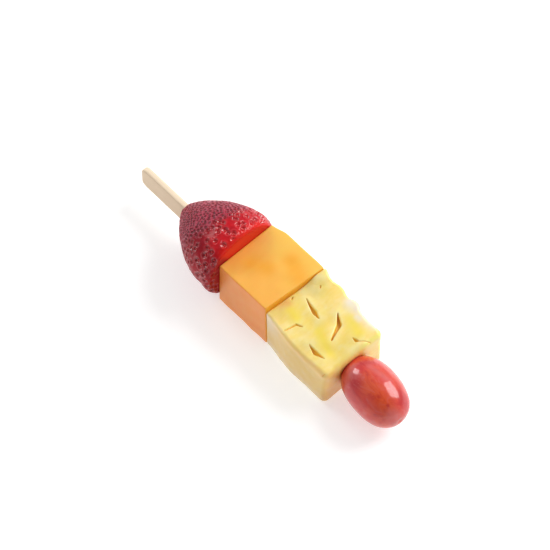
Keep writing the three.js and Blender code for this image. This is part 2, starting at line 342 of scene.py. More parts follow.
def uneven(points, *ripples):
    """The sum of ripples, each given by its height and wavelength in millimetres, its seed and stretch."""
    return sum(height * MM * ripple(points, size * MM, *kind) for height, size, *kind in ripples)


def lobed(around, lobes):
    """The sum of height * cos(number * angle + turn) over all lobes, each given by those three."""
    return sum(height * np.cos(times * around + turn) for height, times, turn in lobes)


def resting(height, softness=0.3 * MM):
    """A smooth version of max(height, 0): half of the height plus the root of its square and softness's,
    less a tenth of the softness."""
    return 0.5 * (height + np.sqrt(height**2 + softness**2)) - 0.1 * softness


def travelled_on(along, across):
    """How far each point of a profile is from its first one, measured on the profile."""
    return np.concatenate([[0], np.cumsum(np.hypot(np.diff(along), np.diff(across)))])


def evenly(along, across, count):
    """A profile's points moved to count places that are evenly spaced along its length."""
    travelled = travelled_on(along, across)
    wanted = np.linspace(0, travelled[-1], count)
    return np.interp(wanted, travelled, along), np.interp(wanted, travelled, across)


def crowded(share, crowd):
    """Shares from 0 to 1 drawn towards both ends: t becomes t - crowd * sin(2 pi t) / (2 pi)."""
    return share - crowd * np.sin(2 * np.pi * share) / (2 * np.pi)


def rectangle_walk(count, half_y, half_z, weights=(1, 1, 1, 1), crowd=0.0):
    """Places round a rectangle, as shares of its half width and height: up its back, along its top, down its
    front and along its bottom. A side has places by its length times its weight, crowded to its corners."""
    wanted = np.array((half_z, half_y, half_z, half_y)) * weights
    ends = np.round(np.cumsum(wanted) / wanted.sum() * count).astype(int)
    corners = np.array(((1, -1), (1, 1), (-1, 1), (-1, -1), (1, -1)), float)
    sides = []
    for low, high, first, last in zip([0, *ends], ends, corners, corners[1:]):
        share = crowded((np.arange(high - low) + 0.5) / (high - low), crowd)
        sides.append(between(first, last, share[:, None]))
    return np.concatenate(sides).T


def rounded(points, half, edge):
    """Points on a block's sides, brought to the edge radius from its core, which is the block made smaller
    by that radius all round."""
    core = np.clip(points, edge - half, half - edge)
    return core + edge * unit(points - core)


def rounded_block(low, high, edges, columns, side_rows, cap_rows, weights):
    """A block's surface as a grid of points. Its rows grow from the middle of the first end to its rim, run
    along the sides, and shrink to the middle of the other end. The edges are then rounded, by a radius that
    goes from the first of the two to the last one, and the grid is finer near them."""
    low, high = np.array(low), np.array(high)
    centre, half = (low + high) / 2, (high - low) / 2
    share_y, share_z = rectangle_walk(columns, half[1], half[2], weights, CORNER_CROWD)
    grow = np.sin(np.linspace(0, np.pi / 2, cap_rows, endpoint=False))
    size = np.concatenate([grow, np.ones(side_rows), grow[::-1]])
    side = 2 * crowded(np.linspace(0, 1, side_rows), END_CROWD) - 1
    along = np.concatenate([-np.ones(cap_rows), side, np.ones(cap_rows)])
    grid = np.empty((len(size), columns, 3))
    grid[..., 0] = along[:, None]
    grid[..., 1] = size[:, None] * share_y
    grid[..., 2] = size[:, None] * share_z
    edge = between(*edges, (along + 1) / 2)[:, None, None]
    return centre + rounded(grid * half, half, edge)


def stroke(x, y, spine):
    """The distance of each point from a spine, which is a polyline of (x, y, half width), and how far inside
    the stroke it is: the largest 1 - distance / half width of its segments, and 0 outside."""
    nearest = np.full(x.shape, np.inf)
    inside = np.zeros(x.shape)
    for (x0, y0, w0), (x1, y1, w1) in zip(spine, spine[1:]):
        run = np.array((x1 - x0, y1 - y0))
        share = np.clip(((x - x0) * run[0] + (y - y0) * run[1]) / (run @ run), 0, 1)
        distance = np.hypot(x - x0 - share * run[0], y - y0 - share * run[1])
        nearest = np.minimum(nearest, distance)
        inside = np.maximum(inside, 1 - distance / between(w0, w1, share))
    return nearest, inside


def patches(x, y, strokes):
    """Soft patches round straight strokes of (x0, y0, x1, y1, radius): the largest bell of the distance."""
    total = np.zeros(x.shape)
    for x0, y0, x1, y1, radius in strokes:
        distance, _ = stroke(x, y, ((x0, y0, radius), (x1, y1, radius)))
        total = np.maximum(total, bell(distance, radius))
    return total


def repeated(shape, centres, frames, sizes):
    """Copies of a shape's points, each turned by a frame of three rows, scaled by three sizes and moved."""
    scaled = shape[None] * sizes[:, None, :]
    return np.einsum("nki,nij->nkj", scaled, frames) + centres[:, None, :]


# ---- Materials ----


def add_node(tree, kind, inputs=None, **settings):
    """A shader node with its settings, and its inputs given as values or linked to other nodes' outputs."""
    node = tree.nodes.new(kind)
    for name, value in settings.items():
        setattr(node, name, value)
    for name, value in (inputs or {}).items():
        if isinstance(value, bpy.types.NodeSocket):
            tree.links.new(value, node.inputs[name])
        else:
            node.inputs[name].default_value = value
    return node


def new_material(name, **values):
    """A material with one Principled shader whose sockets have the given values."""
    material = bpy.data.materials.new(name)
    material.use_nodes = True
    tree = material.node_tree
    shader = next(n for n in tree.nodes if n.type == "BSDF_PRINCIPLED")
    for socket, value in values.items():
        shader.inputs[socket].default_value = value
    return material, tree, shader


def rgba(value):
    """An opaque colour with its fourth number, as sockets take it."""
    return (*value, 1)


def mixed(tree, share, first, second):
    """The colour that is share of the way from the first colour to the second. The numbers are those of a
    mix node's sockets for colours."""
    return add_node(tree, "ShaderNodeMix", {0: share, 6: first, 7: second}, data_type="RGBA").outputs[2]


def mapped(tree, value, from_low, from_high, to_low=0.0, to_high=1.0):
    """A value moved from one range to another, and kept inside it."""
    ranges = {"From Min": from_low, "From Max": from_high, "To Min": to_low, "To Max": to_high}
    return add_node(tree, "ShaderNodeMapRange", {"Value": value, **ranges}).outputs["Result"]


def painted(tree, shader, base, layers):
    """Gives a shader a colour with layers mixed over it, each a field, the most that it covers and a
    colour."""
    shade = rgba(base)
    for field, cover, layer in layers:
        shade = mixed(tree, mapped(tree, field, 0, 1, 0, cover), shade, rgba(layer))
    tree.links.new(shade, shader.inputs["Base Color"])


def attribute(tree, name):
    """The value of a piece's own field."""
    return add_node(tree, "ShaderNodeAttribute", attribute_name=name).outputs["Fac"]


def product(tree, first, second):
    """Two shares multiplied."""
    return add_node(tree, "ShaderNodeMath", {0: first, 1: second}, operation="MULTIPLY").outputs[0]


def noise(tree, scale, stretch=(1, 1, 1), detail=3.0, roughness=0.55, distortion=0.0):
    """Noise on the object's own coordinates, with scale cells a metre, each longer by stretch."""
    place = add_node(tree, "ShaderNodeTexCoord").outputs["Object"]
    shrunk = tuple(1 / s for s in stretch)
    mapping = add_node(tree, "ShaderNodeMapping", {"Vector": place, "Scale": shrunk})
    inputs = {
        "Vector": mapping.outputs["Vector"],
        "Scale": scale,
        "Detail": detail,
        "Roughness": roughness,
        "Distortion": distortion,
    }
    return add_node(tree, "ShaderNodeTexNoise", inputs).outputs["Fac"]


def mottling(tree, scale, low, high, **pattern):
    """Noise as a share that is 0 where the noise is at low and 1 where it is at high."""
    return mapped(tree, noise(tree, scale, **pattern), low, high)


def bumped(tree, shader, height, depth, strength):
    """Gives a shader a bump of that depth in metres."""
    bump = add_node(tree, "ShaderNodeBump", {"Height": height, "Distance": depth, "Strength": strength})
    tree.links.new(bump.outputs["Normal"], shader.inputs["Normal"])


def finish_piece(piece, node, material):
    """Gives a piece its material, puts it under the body and hides the solid that it stands for, if any."""
    piece.data.materials.append(material)
    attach(piece, BODY)
    if node:
        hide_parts(node)


def make_solid(name, node, surface, material):
    """A finished piece from a closed surface, which is its grid of points and its fields. Each field has a
    value for every point of the grid."""
    grid, fields = surface
    piece = closed_surface(name, grid)
    for field, values in fields.items():
        poles = (values[0].mean(), values[-1].mean())
        store_field(piece, field, np.concatenate([values[1:-1].ravel(), poles]))
    finish_piece(piece, node, material)


# ---- Stick ----

CORNER_SECTIONS = 16  # round each end's corners
GRAIN_RIPPLE = (0.55 * MM, 5, (30, 1, 1))  # wavelength, seed and stretch
THINNEST = 1.2  # least half height of a section, in edge radii


def stick_surface(stick, rows=260, columns=40):
    """Sections of the stick from its bare end to its round end. A section is a rectangle whose corners are
    rounded to the edge radius. Its half height at a distance d from the bare end is h - c + sqrt(c^2 -
    (c - d)^2) over the corner radius c, h along the stick, and sqrt(h^2 - e^2) at e past the round end's
    centre. The grain is raised a little, and the field is how far the surface faces sideways."""
    full = STICK_HIGH.x - STICK_LOW.x
    turn = np.linspace(0, np.pi / 2, CORNER_SECTIONS)
    bare = stick.corner * (1 - np.cos(turn))
    middle = np.linspace(stick.corner, full - STICK_HALF_Z, rows - 2 * CORNER_SECTIONS)[1:-1]
    last = full - STICK_HALF_Z * (1 - np.sin(turn))
    travelled = np.concatenate([bare, middle, last])
    into_corner = np.clip(stick.corner - travelled, 0, None)
    past_centre = np.clip(travelled - (full - STICK_HALF_Z), 0, None)
    height = STICK_HALF_Z - stick.corner + np.sqrt(np.maximum(stick.corner**2 - into_corner**2, 0))
    height = np.minimum(height, np.sqrt(np.maximum(STICK_HALF_Z**2 - past_centre**2, 0)))
    height = np.maximum(height, stick.edge * THINNEST)
    into_edge = np.clip(1 - travelled / stick.edge, 0, 1)
    thickness = STICK_HALF_Y - stick.edge * (1 - np.sqrt(1 - into_edge**2))
    half = np.stack([thickness, height], -1)[:, None, :]
    share = np.stack(rectangle_walk(columns, STICK_HALF_Y, STICK_HALF_Z), -1)
    grid = np.empty((len(travelled), columns, 3))
    grid[..., 0] = STICK_LOW.x + travelled[:, None]
    grid[..., 1:] = rounded(half * share, half, stick.edge) + (AXIS_Y, AXIS_Z)
    grid += outward(grid) * (stick.grain * ripple(grid, *GRAIN_RIPPLE))[..., None]
    ends = grid[[0, -1]]
    ends[..., 1:] = (AXIS_Y, AXIS_Z)
    grid = np.concatenate([ends[:1], grid, ends[1:]])
    # The field marks the wide sides, which the wood's colour paints with shade.
    return grid, {"side": smooth(np.abs(outward(grid)[..., 1]), *END)}


def wood_material(stick):
    """Sanded wood with broad bands and fine lines of grain, wide sides painted browner as shade, and open
    pores.
    """
    values = {"Roughness": 0.66, "Specular IOR Level": 0.35}
    material, tree, shader = new_material("pale wood", **values)
    bands = mottling(tree, 180, 0.3, 0.7, stretch=(9, 1, 1), detail=2)
    lines = mottling(tree, 900, 0.3, 0.75, stretch=(26, 1, 1), detail=4)
    pores = noise(tree, 2600, stretch=(34, 1, 1), detail=2)
    layers = (
        (bands, 0.7, stick.dark),
        # painted shade on the wide sides
        (attribute(tree, "side"), 0.55, stick.flat),
        (lines, 0.4, stick.dark),
        (mapped(tree, pores, 0.66, 0.85), 0.3, stick.pores),
    )
    painted(tree, shader, stick.pale, layers)
    bumped(tree, shader, pores, 0.02 * MM, 0.5)
    return material


class SKEWER_OT_stick(bpy.types.Operator):
    """Make the flat wooden stick"""

    bl_idname = "skewer.stick"
    bl_label = "Stick"

    def execute(self, context):
        stick = context.scene.skewer_stick
        make_solid("wooden_stick", "stick", stick_surface(stick), wood_material(stick))
        return {"FINISHED"}


# ---- Strawberry ----

BERRY_TIP_ANGLE = np.radians(15)
BERRY_TIP_ROUNDING = 0.45  # how much of the nose's start the blunt tip takes up
BERRY_LENGTH_POWER = 1.13
BERRY_RADIUS_POWER = 1.5
BERRY_SHOULDER_POWER = 0.8
BERRY_CUT_POWER = 1.3  # how closely the rows of the cut crowd to its rim
BERRY_LOBES = ((0.006, 2, 0.9), (0.006, 3, -1.1), (0.004, 5, 0.0))  # height, number and turn
BERRY_SAMPLES = (12, 300, 80)  # of its profile, on the blunt tip, the nose and the shoulder
BERRY_SWELL_TURN = np.radians(78)  # from straight forwards to straight down
BERRY_SWELL_POWER = 3
BERRY_RIPPLE = (0.12, 9, 3)
BERRY_FRONT = (0.5, 0.72)  # the cosines, from straight forwards, where its front begins and is full
BERRY_LIT_TOP = (0.1, 0.9)  # the sines where its top begins and is full, after the turn below; light is painted on that top
BERRY_LIT_TOP_TURN = 0.15

# The shares of its length where its unevenness begins and ends, where the pits of its top end, where light
# is painted on its top as a glow and where its top is painted as bright as the cut.
BERRY_SOFT = (0.1, 0.5)
BERRY_FIRM = (0.9, 1.0)
BERRY_PITS_END = (0.955, 0.985)
BERRY_LIT_GLOW = (0.55, 0.92)
BERRY_LIT_BAND = (0.90, 1.0)

CUT_PITS = 0.5  # depth of the pits on the cut, as a share of those on the skin
CUT_PITS_RADII = (8 * MM, 10 * MM)  # where they begin and are full
CUT_RIM = 3 * MM  # from the cut's edge to where it is brightest
CUT_BRIGHTNESS = (0.6, 1.0)  # at its edge and further in
SKIN_PAINTED_LIGHT = 0.6  # of the skin beside the cut on its top, which is painted light
WET_SEEDS = (0.3, 1.0)  # how wet the skin is among close seeds and among wide ones
WET_PITS = (0.14, 1.0)  # and how much of that is on plain skin and on the walls of the pits

# The close seeds give way to wide ones at this share of the length, which is less at the front.
BERRY_CHANGE = (0.42, 0.82)
BERRY_CHANGE_SHIFT = 0.13
BERRY_CHANGE_SIDE = 0.5  # the angle round the berry where the close seeds reach furthest

# The seeds stand on a profile of these many points, on the skin and on the cut.
SEED_PROFILE = (400, 60)
SEED_SHARE = 0.9  # of its spacing squared, which is the skin that each seed has
SEED_STRAYING = (0.20, 0.18)  # along and round the berry, as shares of the spacing
SEED_VARIETY = (0.85, 1.15)  # of the spacing that a seed's pit is drawn for
SEED_FIRST = 0.5 * MM  # from the tip
SEED_CLEAR = 0.5 * MM  # from the stick
SEEDS_ON_CUT = 4.5 * MM  # how far seeds go on over the cut's rim at the front
SEED_HALVES = (0.27 * MM, 0.38 * MM)  # half length of a close seed and of a wide one
SEED_SECTION = (1, 0.6, 0.42)  # its length, width and thickness
SEED_SHOWING = 0.35  # how far its middle is above the bottom of its pit, in half thicknesses

# A pit's radius, close and wide, as a share of the spacing. In pit radii: where its wall begins and ends,
# the place, width and height of its rim, the place and width of its gleam, and the width of a ridge.
PIT_RADII = (0.40, 0.33)
PIT_WALL = (0.40, 1.05)
PIT_RIM = (1.2, 0.25, 0.25)
PIT_GLEAM = (0.85, 0.45)
RIDGE_WIDTH = 0.28
POINTS_AT_ONCE = 8000  # that are compared with all seeds


def berry_profile(berry, skin_rows, cut_rows):
    """The strawberry's profile as distances along its axis and radii. With an angle t, the nose is at
    nose * (1 - cos(t)^a) with the radius radius * sin(t)^b, and the shoulder turns in to the cut as a
    quarter of a squarish ellipse, with the powers given above. The tip is a blunt bowl, and the cut runs
    to the axis, with closer rows near its rim."""
    on_tip, on_nose, on_shoulder = BERRY_SAMPLES
    angle = np.linspace(BERRY_TIP_ANGLE, np.pi / 2, on_nose)
    nose_x = berry.nose * (1 - np.clip(np.cos(angle), 0, 1) ** BERRY_LENGTH_POWER)
    nose_r = berry.radius * np.sin(angle) ** BERRY_RADIUS_POWER
    angle = np.linspace(0, np.pi / 2, on_shoulder)[1:]
    shoulder_x = berry.nose + berry.shoulder * np.sin(angle) ** BERRY_SHOULDER_POWER
    turn_in = np.clip(np.cos(angle), 0, 1) ** BERRY_SHOULDER_POWER
    shoulder_r = between(berry.cut_radius, berry.radius, turn_in)
    blunt_r = np.linspace(0, nose_r[0], on_tip, endpoint=False)
    blunt_x = nose_x[0] * (1 - BERRY_TIP_ROUNDING * (1 - (blunt_r / nose_r[0]) ** 2))
    along = np.concatenate([blunt_x, nose_x, shoulder_x])
    skin = evenly(along, np.concatenate([blunt_r, nose_r, shoulder_r]), skin_rows)
    cut_r = berry.cut_radius * (1 - np.linspace(0, 1, cut_rows + 1)[1:] ** BERRY_CUT_POWER)
    cut_x = np.full(cut_rows, berry.nose + berry.shoulder + TOUCH)
    return np.concatenate([skin[0], cut_x]), np.concatenate([skin[1], cut_r])


def berry_points(berry, along, radius, around):
    """Points of the strawberry at distances along its axis, at radii and angles: the section is an oval
    with soft lobes, round an axis that rises from the tip to the cut and sags there. The front is moved in
    by tuck * (forward * sin(pi * past))^2 and below that it is moved out by swell * (towards * past)^3,
    where past goes from 0 where the hollow begins to 1 at the cut."""
    full = berry.nose + berry.shoulder
    share = along / full
    radius = radius * (1 + lobed(around, BERRY_LOBES) * smooth(share, 0, 0.5))
    rise = between(berry.tip_rise, berry.cut_rise, share)
    forward = np.clip(-np.cos(around - np.pi / 4), 0, None) * radius / berry.radius
    past = np.clip((along - full) / berry.tuck_length + 1, 0, 1)
    shift = berry.tuck * (forward * np.sin(np.pi * past)) ** 2 / np.sqrt(2)
    shift = shift - berry.sag * smooth(along, full - berry.sag_length, full)
    towards = np.clip(-np.cos(around - BERRY_SWELL_TURN), 0, None)
    swell = berry.swell * radius / berry.radius * (past * towards) ** BERRY_SWELL_POWER
    points = np.empty(np.broadcast(along, around).shape + (3,))
    aside = berry.aside + shift - swell * np.cos(BERRY_SWELL_TURN)
    points[..., 0] = BERRY_END - full + along
    points[..., 1] = AXIS_Y + aside + radius * np.cos(around)
    height = rise + shift - swell * np.sin(BERRY_SWELL_TURN) + berry.flatness * radius * np.sin(around)
    points[..., 2] = resting(AXIS_Z + height)
    return points


def berry_front(around):
    """1 on the side of the berry that juts out past the melon's front face, and 0 above it and behind."""
    return smooth(-np.cos(around), *BERRY_FRONT)


def from_stick(points):
    """Distance of each point from the stick's section, in the plane across the stick."""
    past_y = np.abs(points[..., 1] - AXIS_Y) - STICK_HALF_Y
    past_z = np.abs(points[..., 2] - AXIS_Z) - STICK_HALF_Z
    return np.hypot(np.clip(past_y, 0, None), np.clip(past_z, 0, None))


def change_shift(share, around):
    """How far, as a share of the length, the change from close to wide seeds is moved at an angle."""
    return BERRY_CHANGE_SHIFT * np.sin(np.pi * share) ** 2 * np.cos(around - BERRY_CHANGE_SIDE)


def berry_spacing(berry, share):
    """Space between seeds: close from the tip on, and opening over the last half of the berry."""
    return between(berry.tip_spacing, berry.cut_spacing, smooth(share, *BERRY_CHANGE))


def pit_depth(berry, opening):
    """Depth of the pits where the seeds are that wide."""
    return between(berry.tip_pit, berry.cut_pit, opening)


def berry_seeds(berry):
    """Where the seeds sit, as distances along the axis, radii, angles and the space between them. Going
    round by the golden angle, each seed moves on until it has its share of a spacing squared of skin behind
    it, and then strays a little. At the front they go on over the rim of the cut."""
    full = berry.nose + berry.shoulder
    along, radius = berry_profile(berry, *SEED_PROFILE)
    travelled = travelled_on(along, radius)
    rim = travelled[SEED_PROFILE[0] - 1]
    middle = (radius[1:] + radius[:-1]) / 2
    skin = 2 * np.pi * middle * np.diff(travelled)
    density = skin / (SEED_SHARE * berry_spacing(berry, along[1:] / full) ** 2)
    count = np.concatenate([[0], np.cumsum(density)])
    order = np.arange(2, int(count[-1]))
    place = np.interp(order + 0.5, count, travelled)
    spacing = berry_spacing(berry, np.interp(place, travelled, along) / full)
    random = np.random.default_rng(11)
    place = place + random.normal(0, SEED_STRAYING[0], len(place)) * spacing
    sideways = random.normal(0, SEED_STRAYING[1], len(place)) * spacing
    around = order * GOLDEN_ANGLE + sideways / np.interp(place, travelled, radius).clip(1 * MM)
    place = place + rim * change_shift(np.clip(place / rim, 0, 1), around)
    last = rim - berry.bare + (berry.bare + SEEDS_ON_CUT) * berry_front(around)
    kept = (place > SEED_FIRST) & (place < last)
    place, around = place[kept], around[kept]
    spacing = spacing[kept] * random.uniform(*SEED_VARIETY, len(place))
    return np.interp(place, travelled, along), np.interp(place, travelled, radius), around, spacing


def seed_frames(berry, along, radius, around):
    """Each seed's place and its three directions: towards the cut, round the berry and out of the skin.
    They are found by a small step along the profile and one round the berry."""
    small = 0.05 * MM
    profile_along, profile_radius = berry_profile(berry, *SEED_PROFILE)
    travelled = travelled_on(profile_along, profile_radius)
    nearest = ((profile_along - along[:, None]) ** 2 + (profile_radius - radius[:, None]) ** 2).argmin(1)
    ahead = travelled[nearest] + small
    ahead_along = np.interp(ahead, travelled, profile_along) - profile_along[nearest] + along
    ahead_radius = np.interp(ahead, travelled, profile_radius) - profile_radius[nearest] + radius
    centre = berry_points(berry, along, radius, around)
    forward = unit(berry_points(berry, ahead_along, ahead_radius, around) - centre)
    sideways = berry_points(berry, along, radius, around + small / radius) - centre
    out = unit(np.cross(sideways, forward))
    return centre, np.stack([forward, np.cross(forward, out), out], 1)


def berry_relief(berry, grid, seeds, spacing):
    """Height of the skin over the plain berry, and four shares for each point: how deep in a pit it is, how
    much it gleams on a pit's wall, how near it is to a ridge between two seeds, and how wide the seeds are
    there. A pit is a flat bowl with a smooth wall and a raised rim, by the distance to the nearest seed in
    pit radii. A ridge is where the two nearest seeds are equally far."""
    flat = grid.reshape(-1, 3).astype(np.float32)
    two = np.empty((len(flat), 2), np.float32)
    which = np.empty(len(flat), int)
    scaled = 1 / spacing.astype(np.float32)
    for start in range(0, len(flat), POINTS_AT_ONCE):
        some = slice(start, start + POINTS_AT_ONCE)
        apart = flat[some, None, :] - seeds[None].astype(np.float32)
        distance = np.sqrt((apart**2).sum(-1)) * scaled
        which[some] = distance.argmin(1)
        two[some] = np.partition(distance, 1, axis=1)[:, :2]
    ridge = 1 - smooth(two[:, 1] - two[:, 0], 0.0, RIDGE_WIDTH).reshape(grid.shape[:2])
    opening = smooth(spacing[which], berry.tip_spacing, berry.cut_spacing).reshape(grid.shape[:2])
    reach = two[:, 0].reshape(grid.shape[:2]) / between(*PIT_RADII, opening)
    pit = 1 - smooth(reach, *PIT_WALL)
    rim_place, rim_width, rim_height = PIT_RIM
    rim = rim_height * bell(reach - rim_place, rim_width)
    gleam = bell(reach - PIT_GLEAM[0], PIT_GLEAM[1])
    return pit_depth(berry, opening) * (rim - pit), pit, gleam, ridge, opening


def strawberry_surface(berry, skin_rows=200, cut_rows=26, columns=420):
    """The strawberry's grid with its pits and its soft unevenness, the fields that its material reads, and
    its seeds, as their places, their frames and the space between them. The pits fade out towards the rim
    of the cut, but at the front they go on over it, half as deep."""
    along, radius = berry_profile(berry, skin_rows, cut_rows)
    around = (np.arange(columns) + 0.5) / columns * 2 * np.pi
    grid = berry_points(berry, along[:, None], radius[:, None], around[None, :])
    seed_along, seed_radius, seed_around, spacing = berry_seeds(berry)
    seeds, frames = seed_frames(berry, seed_along, seed_radius, seed_around)
    clear = from_stick(seeds) > SEED_CLEAR
    seeds, frames, spacing = seeds[clear], frames[clear], spacing[clear]

    skin = (np.arange(len(along)) < skin_rows)[:, None]
    front = berry_front(around)[None, :]
    height, pit, gleam, ridge, opening = berry_relief(berry, grid, seeds, spacing)
    share = np.broadcast_to((along / (berry.nose + berry.shoulder))[:, None], height.shape)
    soft = uneven(grid, BERRY_RIPPLE) * smooth(share, *BERRY_SOFT) * (1 - smooth(share, *BERRY_FIRM))
    seen = np.where(skin, np.maximum(1 - smooth(share, *BERRY_PITS_END), front), CUT_PITS * front)
    seen = seen * np.where(skin, 1, smooth(radius, *CUT_PITS_RADII)[:, None])
    height = height * seen + np.where(skin, soft, 0)
    # The top side, where light from behind is painted as a glow and as a brighter band beside the cut.
    lit_top = smooth(np.sin(around + BERRY_LIT_TOP_TURN), *BERRY_LIT_TOP)[None, :]
    lit_skin_beside_cut = SKIN_PAINTED_LIGHT * smooth(share, *BERRY_LIT_BAND) * lit_top
    cut = between(*CUT_BRIGHTNESS, smooth(berry.cut_radius - radius, 0, CUT_RIM)[:, None])
    grid = grid + outward(grid) * height[..., None]
    grid[..., 2] = np.maximum(grid[..., 2], 0)
    fields = {
        "wide": opening,
        "pit": pit * seen,
        "ridge": ridge * seen,
        # painted light glowing through the top near the cut
        "glow": smooth(share, *BERRY_LIT_GLOW) * lit_top * (1 - front),
        # the cut's own colour, with painted light on the top of the skin beside it
        "bright": np.where(skin, lit_skin_beside_cut, cut) * (1 - front),
        "wet": between(*WET_SEEDS, opening) * between(*WET_PITS, gleam * seen),
    }
    return (grid, fields), (seeds, frames, spacing)


def seed_shape(columns=6, rows=4):
    """A seed of unit half length, pointed at one end, and its faces: with u from -1 to 1 along it, its
    radius is sqrt(1 - u^2) * (1 + 0.35u). Its points run round backwards, because a seed's frame is the
    mirror image of the object's."""
    along = np.sin(np.linspace(-np.pi / 2, np.pi / 2, rows + 2))[1:-1, None]
    width = np.sqrt(1 - along**2) * (1 + 0.35 * along)
    around = -np.arange(columns) / columns * 2 * np.pi
    ring = np.stack(np.broadcast_arrays(along, width * np.cos(around), width * np.sin(around)), -1)
    return np.vstack([ring.reshape(-1, 3), [[-1, 0, 0]], [[1, 0, 0]]]), closed_faces(rows, columns)


def make_seeds(berry, seeds, frames, spacing):
    """All seeds as one mesh, each at the bottom of its pit with its pointed end towards the tip."""
    opening = smooth(spacing, berry.tip_spacing, berry.cut_spacing)
    half = np.outer(between(*SEED_HALVES, opening), SEED_SECTION)
    points, faces = seed_shape()
    sunk = pit_depth(berry, opening) - SEED_SHOWING * half[:, 2]
    copies = repeated(points, seeds - frames[:, 2] * sunk[:, None], frames, half)
    offsets = (np.arange(len(seeds)) * len(points))[:, None, None]
    joined = [(kind + offsets).reshape(-1, kind.shape[1]) for kind in faces]
    piece = mesh_object("strawberry_seeds", copies.reshape(-1, 3), joined)
    store_field(piece, "wide", np.repeat(opening, len(points)))
    finish_piece(piece, None, seed_material(berry))


def strawberry_material(berry):
    """Wet skin, dark among the close seeds, redder towards the cut and brightest on it, with painted light
    and shade: a pinkish sheen on the ridges, shade in the pits, and a glow on its top near the cut.
    """
    values = {
        "Roughness": 0.35,
        "Specular IOR Level": 0.06,
        "Subsurface Weight": 0.5,
        "Subsurface Radius": (1.0, 0.12, 0.15),
        "Subsurface Scale": 1.5 * MM,
        "Coat Roughness": 0.08,
        "Coat IOR": 1.65,
    }
    material, tree, shader = new_material("strawberry skin", **values)
    wide = attribute(tree, "wide")
    close = mapped(tree, wide, 0.0, 0.6, 0.85, 0.0)
    closest = mapped(tree, wide, 0.0, 0.35, 0.75, 0.0)
    # Streaks of painted sheen along the rows of pits.
    streaks = mottling(tree, 700, 0.45, 0.70, stretch=(1, 6, 1.5), detail=2)
    layers = (
        (wide, 1.0, berry.red),
        # painted light glowing through the top near the cut
        (attribute(tree, "glow"), 1.0, berry.glow),
        (mottling(tree, 330, 0.40, 0.72, detail=2), 0.35, berry.dark),
        # painted sheen on the streaks and on the ridges between the close seeds
        (product(tree, streaks, close), 0.6, berry.ridge_sheen),
        (product(tree, attribute(tree, "ridge"), close), 1.0, berry.ridge_sheen),
        # painted shade in the pits of the close seeds
        (product(tree, attribute(tree, "pit"), closest), 1.0, berry.hollow),
        # the cut's own colour, and painted light on the top of the skin beside it
        (attribute(tree, "bright"), 1.0, berry.bright),
    )
    painted(tree, shader, berry.dark, layers)
    tree.links.new(attribute(tree, "wet"), shader.inputs["Coat Weight"])
    bumped(tree, shader, noise(tree, 2200, detail=2), 0.02 * MM, 0.4)
    return material


def seed_material(berry):
    """Seeds that are dark where they are close and red where they are wide, with darker mottling."""
    values = {"Roughness": 0.4, "Coat Weight": 0.15, "Coat Roughness": 0.15}
    material, tree, shader = new_material("strawberry seed", **values)
    layers = (
        (attribute(tree, "wide"), 1.0, berry.seed_red),
        (mottling(tree, 900, 0.3, 0.7), 0.3, berry.seed_mottle),
    )
    painted(tree, shader, berry.seed_dark, layers)
    return material


class SKEWER_OT_strawberry(bpy.types.Operator):
    """Make the strawberry and its seeds"""

    bl_idname = "skewer.strawberry"
    bl_label = "Strawberry"

    def execute(self, context):
        berry = context.scene.skewer_strawberry
        surface, seeds = strawberry_surface(berry)
        make_solid("strawberry_flesh", "strawberry", surface, strawberry_material(berry))
        make_seeds(berry, *seeds)
        return {"FINISHED"}


# ---- Melon ----

# Patches on the melon, as strokes of (along, across, along, across, radius) in millimetres from its first
# end and from the stick.
MELON_DEEP = ((15, 9.5, 22, 7, 3.6), (6, -1.5, 11, 1.5, 3.2))
MELON_PEACH = ((-2, -9, 1, 10, 4.0),)
MELON_PEACH_BACK = (8, 14)  # across from the stick, where the peach colour fades out
MELON_RIPPLES = ((0.07, 7, 21), (0.015, 1.1, 22, (1, 5, 1)))
MELON_WEIGHTS = (0.8, 1.3, 1, 0.4)  # of the points on its back, top, front and bottom

# The rind's colour begins and is full at these millimetres across from the stick. It comes nearer by the
# slant for each millimetre along, and wanders by a ripple.
RIND_REACH = (1, 17)
RIND_SLANT = 0.25
RIND_WANDER = 1.2
RIND_RIPPLE = (9 * MM, 24)


def slant(melon, points):
    """How much further along the stick the slanting cut between melon and pineapple is at each point. It
    grows evenly from the front to the back, and from the top to the bottom."""
    to_back = (points[..., 1] - AXIS_Y + melon.front) / (melon.front + melon.back)
    return melon.end_skew * to_back + melon.end_lean * (1 - points[..., 2] / melon.height)


